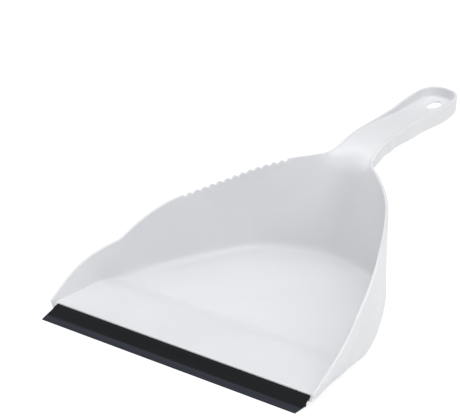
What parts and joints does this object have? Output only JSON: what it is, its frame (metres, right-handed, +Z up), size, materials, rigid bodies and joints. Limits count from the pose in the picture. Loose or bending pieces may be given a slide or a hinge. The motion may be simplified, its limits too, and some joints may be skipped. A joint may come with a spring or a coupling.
{
  "type": "dustpan",
  "caption": "Handheld dustpan: a scoop with high curved walls, a hollow handle with a hanging hole and a combed rim, and a flexing rubber lip along the front edge.",
  "frame": {"origin": "under the middle of the bounding box, on the floor that the pan rests on", "axes": "+X to the right seen from the lip, +Y from the lip towards the handle, +Z up"},
  "size_m": [0.2318, 0.362, 0.0926],
  "materials": {
    "pan_plastic": "satin-gloss white polypropylene",
    "lip_rubber": "matte black rubber",
    "blade_rubber": "matte charcoal rubber"
  },
  "bodies": {
    "pan": {"pan_body": "pan_plastic", "lip_flange": "lip_rubber"},
    "blade": {"lip_blade": "blade_rubber"}
  },
  "joints": [
    {"name": "lip_flex", "type": "hinge", "parent": "pan", "child": "blade", "pos_m": [0, -0.1713, 0.00175], "axis": [-1, 0, 0], "range_deg": [-8, 30], "stiffness_Nm_per_rad": 0.05}
  ]
}
